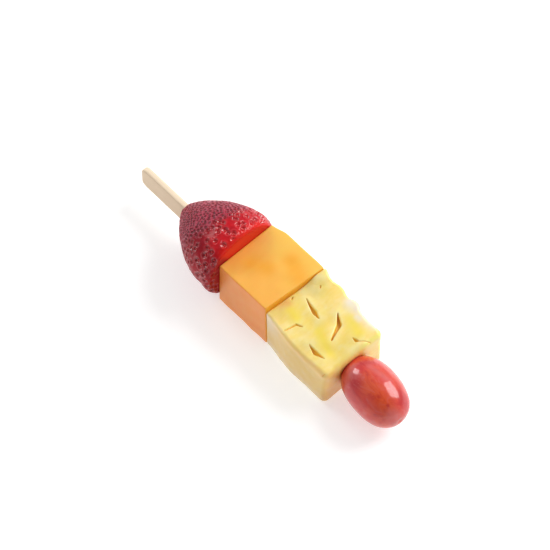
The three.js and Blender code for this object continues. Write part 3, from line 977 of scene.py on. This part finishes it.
def melon_surface(melon, columns=340, side_rows=150, cap_rows=30):
    """The melon's grid: a block with crisp edges, narrower beside the strawberry at the back, with a
    slanting cut at its end and the faint waves that a knife leaves."""
    low = (MELON_START - TOUCH, AXIS_Y - melon.front, 0)
    high = (MELON_START + melon.length + TOUCH, AXIS_Y + melon.back, melon.height)
    edges = (melon.edge, melon.edge)
    grid = rounded_block(low, high, edges, columns, side_rows, cap_rows, MELON_WEIGHTS)
    along = (grid[..., 0] - MELON_START) / melon.length
    to_back = smooth(grid[..., 1], low[1], high[1])
    narrow = 1 - smooth(grid[..., 0], MELON_START, MELON_START + melon.corner_length)
    grid[..., 1] -= melon.corner_cut * narrow * to_back
    grid[..., 1] -= melon.front_lean * (1 - grid[..., 2] / melon.height) * (1 - to_back)
    grid[..., 2] += melon.end_rise * along * grid[..., 2] / melon.height
    grid[..., 0] += slant(melon, grid) * along
    normals = outward(grid)
    seen = 1 - np.abs(normals[..., 0])
    grid = grid + normals * (uneven(grid, *MELON_RIPPLES) * seen)[..., None]
    grid[..., 2] = np.maximum(grid[..., 2], 0)

    x, y = (grid[..., 0] - MELON_START) / MM, (grid[..., 1] - AXIS_Y) / MM
    fields = {
        "rind": smooth(y + RIND_SLANT * x + RIND_WANDER * ripple(grid, *RIND_RIPPLE), *RIND_REACH),
        "deep": patches(x, y, MELON_DEEP) * smooth(normals[..., 2], *SIDE),
        "peach": patches(x, y, MELON_PEACH) * (1 - smooth(y, *MELON_PEACH_BACK)),
        # the front face, painted with shade
        "front": smooth(-normals[..., 1], *SIDE),
        # the end face, painted deeper as shade
        "end": smooth(normals[..., 0], *END),
    }
    return grid, fields


def melon_material(melon):
    """Moist orange flesh, paler towards the rind and deeper where it is ripest, with painted shade on its
    front face and its end.
    """
    values = {
        "Roughness": 0.40,
        "Subsurface Weight": 0.3,
        "Subsurface Radius": (1.0, 0.5, 0.15),
        "Subsurface Scale": 2.5 * MM,
        "Coat Weight": 0.15,
        "Coat Roughness": 0.3,
    }
    material, tree, shader = new_material("melon flesh", **values)
    layers = (
        (attribute(tree, "rind"), 1.0, melon.rind_side),
        (attribute(tree, "peach"), 0.5, melon.peach),
        # painted shade on the front face
        (attribute(tree, "front"), 0.9, melon.shaded),
        (attribute(tree, "deep"), 0.8, melon.deep),
        # painted shade on the end face
        (attribute(tree, "end"), 0.9, melon.deep),
        (mottling(tree, 150, 0.35, 0.7, stretch=(1, 1.6, 1), detail=2), 0.12, melon.peach),
        (mottling(tree, 600, 0.35, 0.7, stretch=(1, 7, 1.5), detail=3), 0.12, melon.rind_side),
    )
    painted(tree, shader, melon.flesh, layers)
    bumped(tree, shader, noise(tree, 1500, stretch=(1, 3, 1), detail=3), 0.02 * MM, 0.4)
    return material


class SKEWER_OT_melon(bpy.types.Operator):
    """Make the melon cube"""

    bl_idname = "skewer.melon"
    bl_label = "Melon"

    def execute(self, context):
        melon = context.scene.skewer_melon
        make_solid("melon_flesh", "melon", melon_surface(melon), melon_material(melon))
        return {"FINISHED"}


# ---- Pineapple ----

# Each gash in the pineapple's top as its depth and its spine, whose points have a place along the chunk, a
# place across from the stick and a half width, all in millimetres.
GASHES = (
    (1.4, ((5.3, 4.0, 0.12), (7.9, 3.2, 0.50), (11.0, 2.5, 1.00), (13.6, 2.0, 0.2))),
    (1.6, ((16.6, 7.8, 0.2), (19.9, 5.4, 1.05), (21.2, 2.4, 0.60), (22.4, -0.4, 0.4))),
    (1.3, ((18.6, -7.0, 0.15), (22.1, -7.6, 1.0), (25.8, -6.9, 0.1))),
    (0.6, ((9.3, -9.6, 0.25), (9.8, -7.2, 0.35), (10.1, -5.2, 0.45), (12.1, -4.1, 0.15))),
    (0.9, ((26.8, 5.2, 0.15), (28.2, 5.3, 0.7), (29.0, 5.7, 0.2))),
    (0.25, ((29.0, 5.7, 0.2), (31.7, 8.6, 0.15))),
    (0.5, ((5.3, 10.5, 0.3), (5.6, 10.1, 0.3))),
    (0.6, ((1.9, 0.8, 0.35), (2.1, 0.2, 0.35))),
    (0.2, ((27.1, -13.9, 0.2), (29.4, -12.3, 0.3), (30.0, -10.6, 0.15))),
)

GASH_WALL = 0.55  # of its half width, over which a gash falls to its bottom
GASH_BOTTOM = (0.7, 1.0)  # of its depth, between which its bottom's colour begins
GASH_LIPS = 2.2  # millimetres from its spine that the pale swollen flesh beside it reaches
LIPS_DEPTH = 2  # the depth in millimetres of a gash whose lips are full

# Patches on the pineapple, as strokes of (along, across, along, across, radius) in millimetres.
PINEAPPLE_BRIGHT = ((4.8, -3.0, 8.6, -3.4, 1.9), (21.0, 10.2, 26.4, 8.0, 2.3), (17.5, -1.5, 25.6, -4.1, 2.0))
# Cream patches: painted light on parts of the top that fall into shade.
PINEAPPLE_LIT_CREAM = ((2.5, 5.5, 5.5, 8.5, 2.4), (3.0, 11.0, 4.0, 13.0, 2.0), (29.5, 1.5, 31.5, 6.5, 1.8))
PINEAPPLE_PEACH = ((-0.1, -5.4, 2.3, -1.7, 1.6),)
# Pale patches: painted highlight at the back of its top, and a paler spot on its top beside the melon.
PINEAPPLE_PALE = (
    (16.4, 13.9, 27.0, 14.2, 2.6),
    (3.5, -11.5, 8.0, -12.0, 1.5),
    (22.0, 12.0, 23.0, 12.0, 1.5),
)
PINEAPPLE_RIPPLES = ((0.08, 6.5, 31), (0.03, 2.4, 32, (1, 1.6, 1)))
PINEAPPLE_WEIGHTS = (0.8, 1.5, 1, 0.4)  # of the points on its back, top, front and bottom
PINEAPPLE_STEP = (16 * MM, 23 * MM)  # where the step in its back begins and ends
PINEAPPLE_RISE = (5 * MM, 13 * MM)  # from the stick, where the rise at its back begins and ends
PINEAPPLE_WAVES = (0.4, 0.35)  # of its top along and across, in radians a millimetre
PINEAPPLE_CALM = (0.3, 2.5)  # millimetres from its start where its swellings begin and are full
PINEAPPLE_CREAM_SHARE = 0.8  # how much the cream patches swell, beside the lips of the gashes
LIPS_HEIGHT = 0.30 * MM
GRAPE_CONTACT_SHADE = 0.8 * MM  # how far from the grape the painted shade and red reflected light reach in the dent
# how wide the painted light along the top's front edge is
LIT_RIM_WIDTH = 2.2 * MM
DENT_CLEARANCE = 0.02 * MM

# Where the colours of its faces begin and end: heights in metres, places along and across in millimetres.
GASH_COLOUR = (0.10, 0.9)  # millimetres deep
FOOT = (0, 6 * MM)  # the foot of the front face
# how much of the floor's reflection is painted on the bottom of the front face
FLOOR_REFLECTION_SHARE = 0.5
CORNER_ALONG = (1, 10)  # the front face's upper corner at the melon
CORNER_UP = (5 * MM, 16 * MM)
CORNER_PALE = 0.6
LOW_UP = (0, 12 * MM)  # the shaded lower part at the grape
LOW_ALONG = (26, 31)
END_FRONT = (-2, 8)  # the front half of its end, painted with shade and the grape's reflected light
LIT_END_BACK = (1, 7)  # the back half of its end, painted with light
LIT_END_BACK_FACE = (0.2, 0.8)  # as END, for that half


def gash_fields(x, y):
    """How deep in a gash each point is, in millimetres, how near it is to the bottom of one, and how near it
    is to any gash, less for a shallow one."""
    depth, bottom, near = np.zeros((3, *x.shape))
    for deep, spine in GASHES:
        distance, inside = stroke(x, y, spine)
        fallen = smooth(inside, 0, GASH_WALL)
        depth = np.maximum(depth, deep * fallen)
        bottom = np.maximum(bottom, smooth(fallen, *GASH_BOTTOM))
        near = np.maximum(near, min(deep / LIPS_DEPTH, 1) * bell(distance, GASH_LIPS))
    return depth, bottom, near


def grape_frame(grape, points):
    """Where each point is from the grape's middle: along its axis and away from it."""
    x, y, z = np.moveaxis(points - GRAPE_CENTRE, -1, 0)
    cosine, sine = np.cos(grape.turn), np.sin(grape.turn)
    return cosine * x + sine * y, np.hypot(cosine * y - sine * x, z)


def dented(grape, grid):
    """The grid with what reaches into the grape moved back along X to its skin, which is at
    -(length / 2) * (1 - (r / radius)^n)^(1 / n) along its axis, and the distance of each point from it."""
    along, away = grape_frame(grape, grid)
    half, n = grape.length / 2, grape.bluntness
    skin = -half * np.clip(1 - (away / grape.radius) ** n, 0, None) ** (1 / n)
    pressed = np.where(away < grape.radius, np.clip(along - skin + DENT_CLEARANCE, 0, half), 0)
    moved = grid.copy()
    moved[..., 0] -= pressed / np.cos(grape.turn)
    along, away = grape_frame(grape, moved)
    level = ((np.abs(along) / half) ** n + (away / grape.radius) ** n) ** (1 / n)
    return moved, (level - 1) * grape.radius


def pineapple_surface(pineapple, melon, grape, columns=420, side_rows=196, cap_rows=20):
    """The pineapple's grid: a soft-edged block that starts along the melon's slanting cut, flares at the
    front, has ridges and a step in its back, rises at the back beside the melon and slopes down to the
    grape, with soft swellings, gashes, and a dent where the grape presses in."""
    start = MELON_START + melon.length + CLEARANCE
    low = (start - TOUCH, AXIS_Y - pineapple.front, 0)
    high = (start + pineapple.length, AXIS_Y + pineapple.back, pineapple.height)
    edges = (pineapple.first_edge, pineapple.last_edge)
    grid = rounded_block(low, high, edges, columns, side_rows, cap_rows, PINEAPPLE_WEIGHTS)
    x, y = grid[..., 0] - start, grid[..., 1] - AXIS_Y
    along = x / pineapple.length
    to_back = smooth(y, -pineapple.front, pineapple.back)
    to_top = smooth(grid[..., 2], 0, pineapple.height)
    stepped = smooth(x, *PINEAPPLE_STEP)
    ridges = pineapple.ridge * np.cos(2 * np.pi * x / pineapple.ridge_spacing)
    risen = smooth(y, *PINEAPPLE_RISE) * (1 - smooth(x, 0, pineapple.back_rise_length))
    wave = np.sin(x / MM * PINEAPPLE_WAVES[0]) * np.cos(y / MM * PINEAPPLE_WAVES[1])
    flare = pineapple.front_flare * smooth(x, 0, pineapple.flare_length)
    grid[..., 1] -= (flare + pineapple.front_lean * (1 - to_top)) * (1 - to_back)
    grid[..., 1] += (ridges * (1 - stepped) - pineapple.back_step * stepped) * to_back
    grid[..., 2] += (pineapple.back_rise * risen + pineapple.waviness * wave) * to_top
    grid[..., 2] -= pineapple.slope * along * (1 - to_back) * to_top
    grid[..., 0] += slant(melon, grid) * (1 - along)
    grid[..., 0] += pineapple.end_skew * to_back * along

    normals = outward(grid)
    facing_up = smooth(normals[..., 2], *UPWARD)
    x, y = (grid[..., 0] - start) / MM, (grid[..., 1] - AXIS_Y) / MM
    depth, bottom, near = gash_fields(x, y)
    # the lips carry a painted highlight as well as swollen flesh, and the cream patches painted light
    near = np.maximum(near, PINEAPPLE_CREAM_SHARE * patches(x, y, PINEAPPLE_LIT_CREAM)) * facing_up
    depth *= facing_up
    height = (uneven(grid, *PINEAPPLE_RIPPLES) + LIPS_HEIGHT * near) * smooth(x, *PINEAPPLE_CALM)
    grid = grid + normals * height[..., None]
    grid[..., 2] = np.maximum(grid[..., 2] - depth * MM, 0)
    grid, to_grape = dented(grape, grid)

    z = grid[..., 2]
    # the front face, which is painted with shade
    front = smooth(-normals[..., 1], *SIDE)
    # painted reflection of the white floor low on the front face
    foot = FLOOR_REFLECTION_SHARE * (1 - smooth(z, *FOOT))
    # the front's upper corner at the melon, painted paler
    corner = CORNER_PALE * (1 - smooth(x, *CORNER_ALONG)) * smooth(z, *CORNER_UP)
    pale_front = front * np.maximum(foot, corner)
    from_front = grid[..., 1] - grid[..., 1].min(axis=1, keepdims=True)
    from_top = pineapple.height - pineapple.slope * along - z
    fields = {
        "gash": smooth(depth, *GASH_COLOUR),
        "bottom": bottom * facing_up,
        "near": near,
        "bright": patches(x, y, PINEAPPLE_BRIGHT) * facing_up,
        # peach patch beside the melon, and painted shade and red reflected light beside the grape
        "peach": np.maximum(patches(x, y, PINEAPPLE_PEACH) * facing_up, bell(to_grape, GRAPE_CONTACT_SHADE)),
        "pale": np.maximum(patches(x, y, PINEAPPLE_PALE) * (1 - front), pale_front),
        "front": front,
        # the top's front edge, painted lighter as light
        "edge": bell(np.hypot(from_front, from_top), LIT_RIM_WIDTH),
        "low": (1 - smooth(z, *LOW_UP)) * smooth(x, *LOW_ALONG),
        # the front half of its end, painted with shade and the grape's reflected light
        "end": smooth(normals[..., 0], *END) * (1 - smooth(y, *END_FRONT)),
        # the back half of its end, painted with light
        "lit end back": smooth(normals[..., 0], *LIT_END_BACK_FACE) * smooth(y, *LIT_END_BACK),
    }
    return grid, fields


def pineapple_material(pineapple):
    """Moist yellow flesh with fibres, ripe patches and amber to brown inside the gashes, and painted light
    and shade: cream swellings and patches partly lit, a darker, browner front face, darker low at the
    grape, a lighter front edge and end, pale glancing light and floor reflection, reddened shade by the
    grape."""
    values = {
        "Roughness": 0.36,
        "Subsurface Weight": 0.8,
        "Subsurface Radius": (1.0, 0.8, 0.3),
        "Subsurface Scale": 2 * MM,
        "Coat Weight": 0.3,
        "Coat Roughness": 0.2,
    }
    material, tree, shader = new_material("pineapple flesh", **values)
    layers = (
        (mottling(tree, 140, 0.42, 0.7, detail=2), 0.35, pineapple.bright),
        (mottling(tree, 330, 0.42, 0.72, stretch=(1, 1.6, 1), detail=2), 0.5, pineapple.cream),
        (mottling(tree, 900, 0.4, 0.75, stretch=(1, 5, 9), detail=3), 0.25, pineapple.cream),
        # cream beside the gashes and on the patches, partly painted light
        (attribute(tree, "near"), 0.65, pineapple.cream),
        (attribute(tree, "bright"), 0.9, pineapple.bright),
        # painted shade on the front face
        (attribute(tree, "front"), 0.9, pineapple.tan),
        # painted light on the top's front edge
        (attribute(tree, "edge"), 0.75, pineapple.rim),
        # painted highlight at the back of the top and painted floor reflection low on the front
        (attribute(tree, "pale"), 0.8, pineapple.pale),
        # peach beside the melon, and painted shade and red reflected light beside the grape
        (attribute(tree, "peach"), 0.7, pineapple.peach),
        # painted shade and the grape's reflected light on the front half of the end
        (attribute(tree, "end"), 0.35, pineapple.peach),
        # painted light on the back half of the end
        (attribute(tree, "lit end back"), 0.6, pineapple.end_light),
        (attribute(tree, "low"), 0.55, pineapple.shaded),
        (attribute(tree, "gash"), 1.0, pineapple.amber),
        (attribute(tree, "bottom"), 0.7, pineapple.brown),
    )
    painted(tree, shader, pineapple.flesh, layers)
    bumped(tree, shader, noise(tree, 1100, stretch=(1, 4, 5), detail=3), 0.03 * MM, 0.5)
    return material


class SKEWER_OT_pineapple(bpy.types.Operator):
    """Make the pineapple chunk"""

    bl_idname = "skewer.pineapple"
    bl_label = "Pineapple"

    def execute(self, context):
        pineapple, melon = context.scene.skewer_pineapple, context.scene.skewer_melon
        surface = pineapple_surface(pineapple, melon, context.scene.skewer_grape)
        make_solid("pineapple_flesh", "pineapple", surface, pineapple_material(pineapple))
        return {"FINISHED"}


# ---- Grape ----

# Patches on the grape, as strokes of (along, across, along, across, radius) in millimetres from its middle,
# seen from above.
GRAPE_WARM = ((-1, -3, 9.5, -2.5, 3.2),)
GRAPE_DARK = (
    (-6, -5, -3, -6, 2.4),
    (9.5, -2.0, 9.7, -2.1, 0.5),
    (-8, 0, -6.5, 3.5, 1.6),
    (8.5, 4.5, 11, 4, 2.0),
)
GRAPE_BLOOM = ((-5, 1.5, 2, 3.2, 1.3), (11.5, -2.8, 12.6, -1.0, 1.6), (-9, -3, -7, -5.5, 1.5))
GRAPE_RIPPLE = (0.05, 7, 41)
GRAPE_DIMPLE = (0.35 * MM, 0.8 * MM)  # depth and width
GRAPE_LOBES = ((0.006, 2, 0.5), (0.006, 3, 0.0))  # height, number and turn
GRAPE_UPPER = (-4 * MM, 2 * MM)  # heights over its middle where the patches begin and are full


def grape_surface(grape, rows=130, columns=170):
    """The grape's grid: a body of revolution whose outline is |x / a|^n + |r / b|^n = 1, turned a little
    from the stick, with soft lobes and unevenness and a small dimple at its free end. The fields are the
    patches on its upper half."""
    angle = np.linspace(0, np.pi, rows)
    power = 2 / grape.bluntness
    along = -np.sign(np.cos(angle)) * np.abs(np.cos(angle)) ** power * grape.length / 2
    radius = np.sin(angle).clip(0, 1) ** power * grape.radius
    along, radius = evenly(along, radius, rows)
    around = (np.arange(columns) + 0.5) / columns * 2 * np.pi
    dimple = GRAPE_DIMPLE[0] * bell(radius, GRAPE_DIMPLE[1]) * (along > 0)
    grid = np.empty((rows, columns, 3))
    grid[..., 0] = (along - dimple)[:, None]
    swell = 1 + lobed(around, GRAPE_LOBES)
    grid[..., 1] = radius[:, None] * np.cos(around) * swell
    grid[..., 2] = radius[:, None] * np.sin(around) * swell
    grid += outward(grid) * uneven(grid, GRAPE_RIPPLE)[..., None]
    x, y, upper = grid[..., 0] / MM, grid[..., 1] / MM, smooth(grid[..., 2], *GRAPE_UPPER)
    fields = {
        "warm": patches(x, y, GRAPE_WARM) * upper,
        "dark": patches(x, y, GRAPE_DARK) * upper,
        "bloom": patches(x, y, GRAPE_BLOOM) * upper,
    }
    cosine, sine = np.cos(grape.turn), np.sin(grape.turn)
    turn = np.array(((cosine, -sine, 0), (sine, cosine, 0), (0, 0, 1)))
    return GRAPE_CENTRE + grid @ turn.T, fields


def grape_material(grape):
    """Glossy red skin with fine streaks, warm where the flesh shows through, and darker and pale patches."""
    values = {
        "Roughness": 0.35,
        "Specular IOR Level": 0.2,
        "Subsurface Weight": 0.4,
        "Subsurface Radius": (1.0, 0.3, 0.25),
        "Subsurface Scale": 3 * MM,
        "Coat Weight": 0.8,
        "Coat Roughness": 0.07,
    }
    material, tree, shader = new_material("grape skin", **values)
    streaked = noise(tree, 380, stretch=(2.2, 1, 1), detail=4, roughness=0.62, distortion=0.8)
    layers = (
        (mottling(tree, 160, 0.4, 0.68, detail=2), 0.6, grape.warm),
        (attribute(tree, "warm"), 0.8, grape.warm),
        (mapped(tree, streaked, 0.50, 0.30), 0.6, grape.dark),
        (attribute(tree, "dark"), 0.75, grape.dark),
        (mapped(tree, streaked, 0.52, 0.72), 0.5, grape.bloom),
        (attribute(tree, "bloom"), 0.6, grape.bloom),
        (mottling(tree, 1700, 0.68, 0.78, detail=1), 0.3, grape.bloom),
    )
    painted(tree, shader, grape.skin, layers)
    bumped(tree, shader, noise(tree, 500, detail=2), 0.02 * MM, 0.3)
    return material


class SKEWER_OT_grape(bpy.types.Operator):
    """Make the grape"""

    bl_idname = "skewer.grape"
    bl_label = "Grape"

    def execute(self, context):
        grape = context.scene.skewer_grape
        make_solid("grape_berry", "grape", grape_surface(grape), grape_material(grape))
        return {"FINISHED"}


# ---- Stage ----

# Camera angles round the object in degrees, and the point in the middle of the picture, from the bare end
# of the stick on its centre line.
CAMERA_AZIMUTH = 47.3
CAMERA_ELEVATION = 60.0
CAMERA_TARGET = (60.43 * MM, 5.83 * MM, 0.0)
SENSOR_WIDTH = 36.0
CAMERA_CLIP = (0.05, 30)  # nearest and furthest that it sees
SHADE_ANGLES = (45.0, 20.0)  # from the camera's direction, where the shade begins and where it is full

# Each softbox as the direction that it stands in, its distance, its size in metres and its brightness.
SOFTBOXES = (
    ("softbox_back", (0.20, 0.737, 0.646), 1.0, 0.60, 7.3),
    ("softbox_left", (-0.824, -0.122, 0.552), 1.0, 0.32, 7.3),
)


def add_floor(stage):
    """A square white floor that gives off a little light."""
    half = stage.floor_size / 2
    corners = np.array([(-half, -half, 0), (half, -half, 0), (half, half, 0), (-half, half, 0)])
    floor = mesh_object("floor", corners, [np.array([[0, 1, 2, 3]])])
    values = {
        "Base Color": rgba(stage.floor),
        "Roughness": 0.7,
        "Specular IOR Level": 0.2,
        "Emission Color": (1, 1, 1, 1),
        "Emission Strength": stage.glow,
    }
    floor.data.materials.append(new_material("pale floor", **values)[0])


def add_light(name, direction, distance, size, brightness):
    """A square light that faces the object. Its power is brightness times pi times its area."""
    data = bpy.data.lights.new(name, "AREA")
    data.shape = "SQUARE"
    data.size = size
    data.energy = brightness * np.pi * size**2
    light = bpy.data.objects.new(name, data)
    bpy.context.scene.collection.objects.link(light)
    away = Vector(direction).normalized()
    light.location = away * distance + Vector((0, 0, AXIS_Z))
    light.rotation_mode = "QUATERNION"
    light.rotation_quaternion = (-away).to_track_quat("-Z", "Y")


def towards_camera():
    """The direction from the object to the camera, which stands between its front and its grape end."""
    azimuth, elevation = np.radians(CAMERA_AZIMUTH), np.radians(CAMERA_ELEVATION)
    level = np.cos(elevation)
    return Vector((np.sin(azimuth) * level, -np.cos(azimuth) * level, np.sin(elevation)))


def add_world(stage):
    """Even white light from all sides, with a darker round patch about the camera, whose reflections keep
    the wet fruit deep in colour."""
    world = bpy.data.worlds.new("even light")
    world.use_nodes = True
    tree = world.node_tree
    background = next(n for n in tree.nodes if n.type == "BACKGROUND")
    background.inputs["Color"].default_value = (1, 1, 1, 1)
    direction = add_node(tree, "ShaderNodeTexCoord").outputs["Generated"]
    inputs = {0: direction, 1: towards_camera()}
    facing = add_node(tree, "ShaderNodeVectorMath", inputs, operation="DOT_PRODUCT").outputs["Value"]
    shaded = np.cos(np.radians(SHADE_ANGLES))
    strength = mapped(tree, facing, *shaded, stage.world, stage.shade)
    tree.links.new(strength, background.inputs["Strength"])
    bpy.context.scene.world = world


def add_camera(stage):
    """A long lens that looks down on the skewer from its front and its grape end."""
    back = towards_camera()
    target = Vector((STICK_LOW.x, AXIS_Y, AXIS_Z)) + Vector(CAMERA_TARGET)
    data = bpy.data.cameras.new("camera")
    data.sensor_width = SENSOR_WIDTH
    data.lens = SENSOR_WIDTH * stage.camera_distance / stage.view_width
    data.clip_start, data.clip_end = CAMERA_CLIP
    camera = bpy.data.objects.new("camera", data)
    bpy.context.scene.collection.objects.link(camera)
    camera.location = target + back * stage.camera_distance
    camera.rotation_mode = "QUATERNION"
    camera.rotation_quaternion = (-back).to_track_quat("-Z", "Y")
    bpy.context.scene.camera = camera


class SKEWER_OT_stage(bpy.types.Operator):
    """Make the floor, the lights and the camera"""

    bl_idname = "skewer.stage"
    bl_label = "Stage"

    def execute(self, context):
        stage = context.scene.skewer_stage
        add_floor(stage)
        for softbox in SOFTBOXES:
            add_light(*softbox)
        add_world(stage)
        add_camera(stage)
        context.scene.view_settings.view_transform = "Standard"
        return {"FINISHED"}


class SKEWER_PT_panel(bpy.types.Panel):
    """Lists the pieces of the skewer and their settings"""

    bl_idname = "SKEWER_PT_panel"
    bl_label = "Fruit Skewer"
    bl_space_type = "VIEW_3D"
    bl_region_type = "UI"
    bl_category = "Skewer"

    def draw(self, context):
        for operator, settings in PIECES:
            box = self.layout.box()
            box.operator(operator.bl_idname)
            group = getattr(context.scene, settings)
            for name in group.bl_rna.properties.keys():
                if name not in ("rna_type", "name"):
                    box.prop(group, name)


PIECES = (
    (SKEWER_OT_stick, "skewer_stick"),
    (SKEWER_OT_strawberry, "skewer_strawberry"),
    (SKEWER_OT_melon, "skewer_melon"),
    (SKEWER_OT_pineapple, "skewer_pineapple"),
    (SKEWER_OT_grape, "skewer_grape"),
    (SKEWER_OT_stage, "skewer_stage"),
)
SETTINGS = {
    "skewer_stick": StickSettings,
    "skewer_strawberry": StrawberrySettings,
    "skewer_melon": MelonSettings,
    "skewer_pineapple": PineappleSettings,
    "skewer_grape": GrapeSettings,
    "skewer_stage": StageSettings,
}


def register():
    for name, settings in SETTINGS.items():
        bpy.utils.register_class(settings)
        setattr(bpy.types.Scene, name, PointerProperty(type=settings))
    for operator, _ in PIECES:
        bpy.utils.register_class(operator)
    bpy.utils.register_class(SKEWER_PT_panel)


def unregister():
    bpy.utils.unregister_class(SKEWER_PT_panel)
    for operator, _ in reversed(PIECES):
        bpy.utils.unregister_class(operator)
    for name, settings in SETTINGS.items():
        delattr(bpy.types.Scene, name)
        bpy.utils.unregister_class(settings)


def main():
    register()
    bpy.ops.skewer.stage()
    bpy.ops.skewer.stick()
    bpy.ops.skewer.strawberry()
    bpy.ops.skewer.melon()
    bpy.ops.skewer.pineapple()
    bpy.ops.skewer.grape()


if __name__ == "__main__":
    main()
